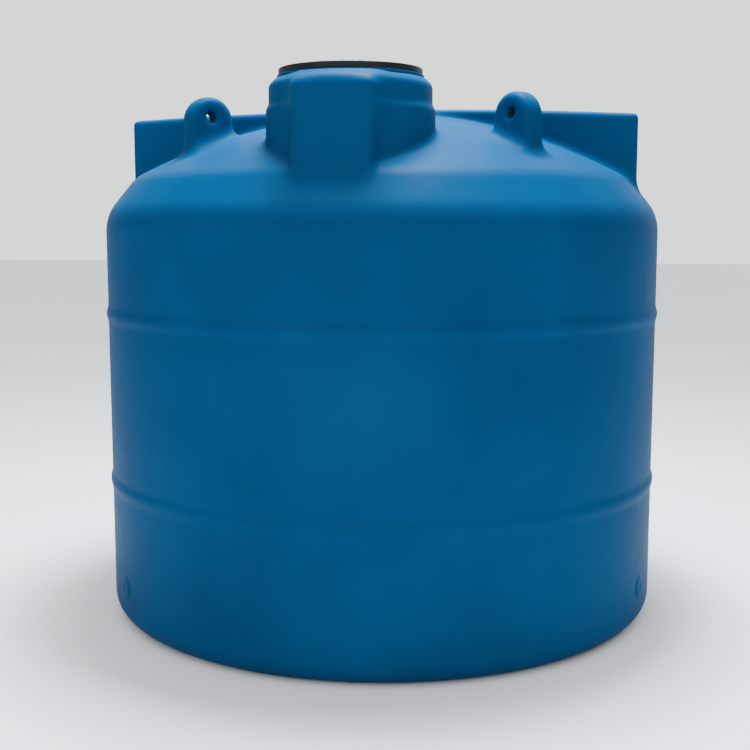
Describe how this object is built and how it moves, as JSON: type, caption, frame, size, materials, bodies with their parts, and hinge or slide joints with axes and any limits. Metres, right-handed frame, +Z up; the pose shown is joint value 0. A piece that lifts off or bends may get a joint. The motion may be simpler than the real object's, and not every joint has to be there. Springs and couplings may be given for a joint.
{
  "type": "livestock water tank",
  "caption": "Upright moulded polyethylene water tank for livestock, with a domed ridged top, offset screw-lid neck, lifting lugs, float-valve inlet, overflow and valved outlet.",
  "frame": {"origin": "centre of the flat base, on the ground", "axes": "+Z up along the tank's axis; -Y towards the fill opening; +Y towards the pipe fittings; +X to the right seen from the fill opening's side"},
  "size_m": [1.5598, 1.7048, 1.4773],
  "materials": {
    "blue_polyethylene": "satin moulded polyethylene with a faint orange peel",
    "black_polypropylene": "satin black injection-moulded plastic",
    "grey_polypropylene": "dark grey injection-moulded plastic",
    "white_nylon": "off-white nylon",
    "brass": "cast and machined brass",
    "stainless": "brushed stainless steel",
    "rubber": "black EPDM rubber",
    "float_orange": "blow-moulded orange plastic",
    "lever_red": "red coated lever"
  },
  "bodies": {
    "tank": {"tank_floor": "blue_polyethylene", "tank_wall_lower": "blue_polyethylene", "tank_wall_upper": "blue_polyethylene", "tank_shoulder": "blue_polyethylene", "tank_dome": "blue_polyethylene", "tank_ridge": "blue_polyethylene", "tank_neck": "blue_polyethylene", "lifting_lugs": "blue_polyethylene", "neck_ring": "blue_polyethylene", "inlet_bulkhead": "brass", "inlet_outer_gasket": "rubber", "inlet_inner_gasket": "rubber", "inlet_backnut": "brass", "float_valve_body": "brass", "float_valve_seat": "white_nylon", "float_pin": "stainless", "overflow_bulkhead": "grey_polypropylene", "overflow_gasket": "rubber", "overflow_backnut": "grey_polypropylene", "overflow_elbow": "grey_polypropylene", "overflow_screen": "stainless", "outlet_bulkhead": "grey_polypropylene", "outlet_outer_gasket": "rubber", "outlet_inner_gasket": "rubber", "outlet_backnut": "grey_polypropylene", "outlet_valve_body": "grey_polypropylene", "outlet_valve_end": "grey_polypropylene", "outlet_valve_seats": "white_nylon", "stem_packing": "rubber"},
    "lid_seal": {"lid_gasket": "rubber"},
    "lid": {"manhole_lid": "black_polypropylene", "lid_skirt": "black_polypropylene", "vent_body": "black_polypropylene", "vent_screen": "stainless", "vent_cap": "black_polypropylene", "vent_nut": "black_polypropylene"},
    "float_lever": {"float_arm": "brass", "float_ball": "float_orange", "float_ball_nut": "stainless"},
    "float_piston": {"float_piston": "brass", "piston_washer": "rubber"},
    "outlet_spindle": {"outlet_valve_ball": "stainless", "outlet_valve_stem": "stainless", "outlet_valve_lever": "lever_red", "lever_nut": "stainless"}
  },
  "joints": [
    {"name": "lid_turn", "type": "hinge", "parent": "lid_seal", "child": "lid", "pos_m": [0, -0.452, 1.45], "axis": [0, 0, 1], "range_deg": [0, 360]},
    {"name": "lid_lift", "type": "slide", "parent": "tank", "child": "lid_seal", "axis": [0, 0, 1], "range_m": [0, 0.0121]},
    {"name": "float_swing", "type": "hinge", "parent": "tank", "child": "float_lever", "pos_m": [0, 0.676, 0.969], "axis": [-1, 0, 0], "range_deg": [0, 30]},
    {"name": "piston_stroke", "type": "slide", "parent": "tank", "child": "float_piston", "axis": [0, 1, 0], "range_m": [0, 0.0085]},
    {"name": "outlet_turn", "type": "hinge", "parent": "tank", "child": "outlet_spindle", "pos_m": [0, 0.862, 0.115], "axis": [0, 0, 1], "range_deg": [0, 90]}
  ],
  "couplings": [
    {"joint": "lid_lift", "follows": "lid_turn", "m_per_rad": 0.0019099},
    {"joint": "piston_stroke", "follows": "float_swing", "m_per_rad": 0.016}
  ]
}
